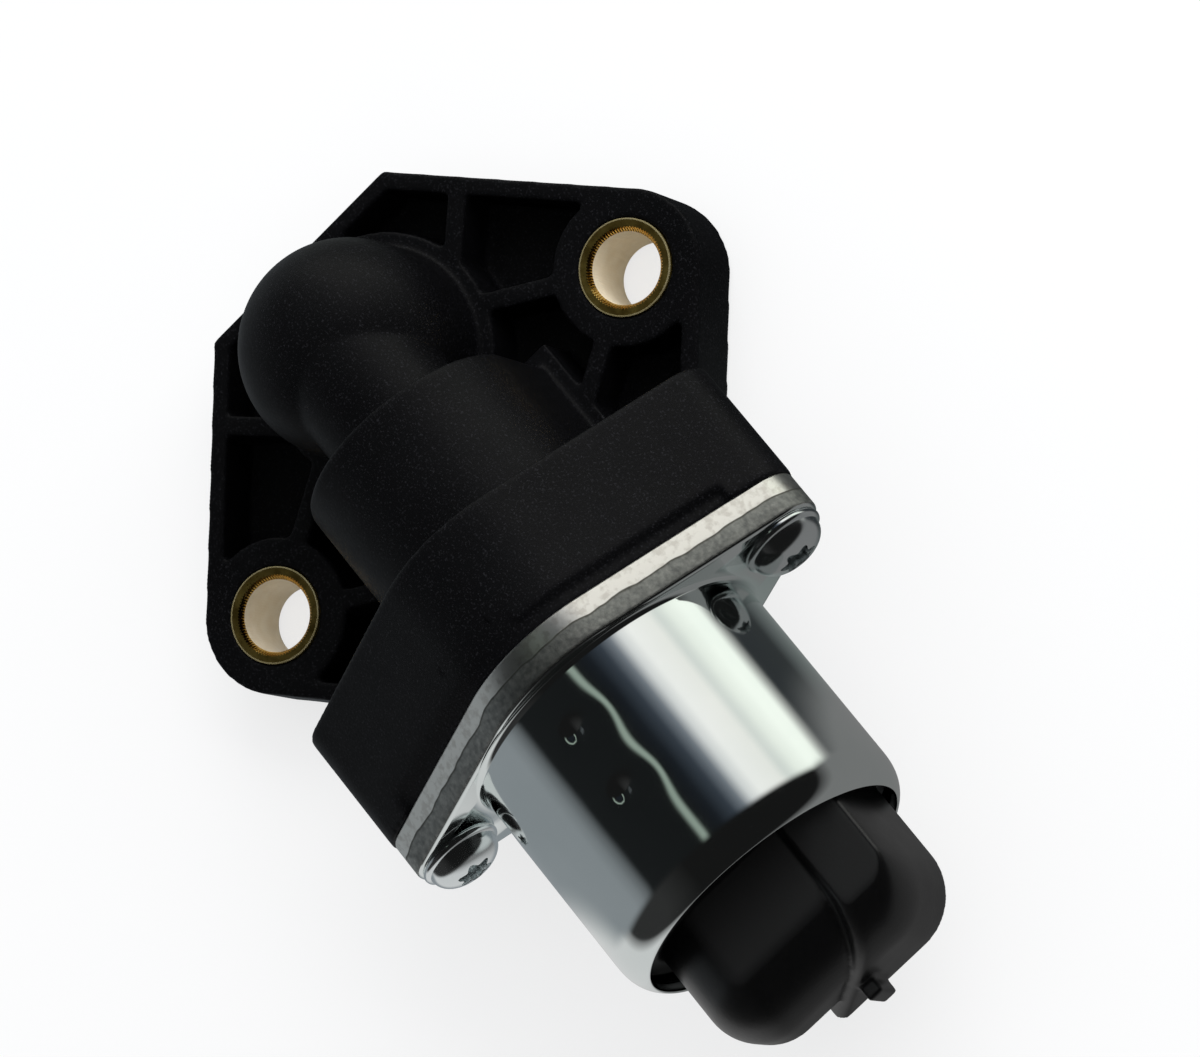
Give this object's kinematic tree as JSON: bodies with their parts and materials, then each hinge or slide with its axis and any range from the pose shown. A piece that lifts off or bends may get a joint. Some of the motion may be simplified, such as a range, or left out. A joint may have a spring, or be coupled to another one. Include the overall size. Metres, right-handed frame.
{
  "type": "idle air control valve",
  "caption": "Idle air control valve: a stepper motor in a zinc plated can drives a pintle onto a seat in a black plastic body with an elbow, a ribbed bolt plate and a plug socket.",
  "frame": {"origin": "middle of the two bolt holes on the mating face of the plate", "axes": "+X along the motor axis from the elbow to the connector, +Y along the line of the two bolts, +Z from the mating face up through the plate"},
  "size_m": [0.1148, 0.0758, 0.0412],
  "materials": {
    "body_black": "satin",
    "connector_black": "satin",
    "sleeve_brass": "machined",
    "seal_rubber": "matt",
    "can_zinc": "bright zinc plated",
    "screw_zinc": "bright zinc plated",
    "terminal_tin": "tin plated",
    "plain_steel": "plain",
    "bearing_steel": "ground",
    "bush_bronze": "sintered",
    "coil_copper": "enamelled wire",
    "bobbin_nylon": "natural",
    "magnet_ferrite": "ground",
    "hub_brass": "machined",
    "pintle_black": "satin",
    "spring_steel": "drawn"
  },
  "bodies": {
    "housing": {"valve_body": "body_black", "sleeve_left": "sleeve_brass", "sleeve_right": "sleeve_brass", "port_seal_inlet": "seal_rubber", "port_seal_outlet": "seal_rubber", "motor_can": "can_zinc", "screw_left": "screw_zinc", "screw_right": "screw_zinc", "nose_seal": "seal_rubber", "connector_housing": "connector_black", "terminal_1": "terminal_tin", "terminal_2": "terminal_tin", "terminal_3": "terminal_tin", "terminal_4": "terminal_tin", "motor_nose": "plain_steel", "guide_bush": "bush_bronze", "rear_bush": "bush_bronze", "bearing_outer_ring": "bearing_steel", "pole_cup_front": "plain_steel", "pole_cup_rear": "plain_steel", "pole_plate": "plain_steel", "bobbin_front": "bobbin_nylon", "bobbin_rear": "bobbin_nylon", "winding_front": "coil_copper", "winding_rear": "coil_copper", "pintle_spring": "spring_steel"},
    "rotor": {"rotor_magnet": "magnet_ferrite", "rotor_hub": "hub_brass", "bearing_inner_ring": "bearing_steel", "bearing_balls": "bearing_steel"},
    "plunger": {"spindle": "spring_steel", "pintle": "pintle_black"}
  },
  "joints": [
    {"name": "rotor_spin", "type": "hinge", "parent": "housing", "child": "rotor", "pos_m": [0.0496, 0, 0.0205], "axis": [1, 0, 0], "range_deg": [-2880, 0]},
    {"name": "pintle_slide", "type": "slide", "parent": "housing", "child": "plunger", "axis": [1, 0, 0], "range_m": [0, 0.008], "deforming": ["pintle_spring"]}
  ],
  "couplings": [
    {"joint": "pintle_slide", "follows": "rotor_spin", "m_per_rad": -0.00015915}
  ]
}
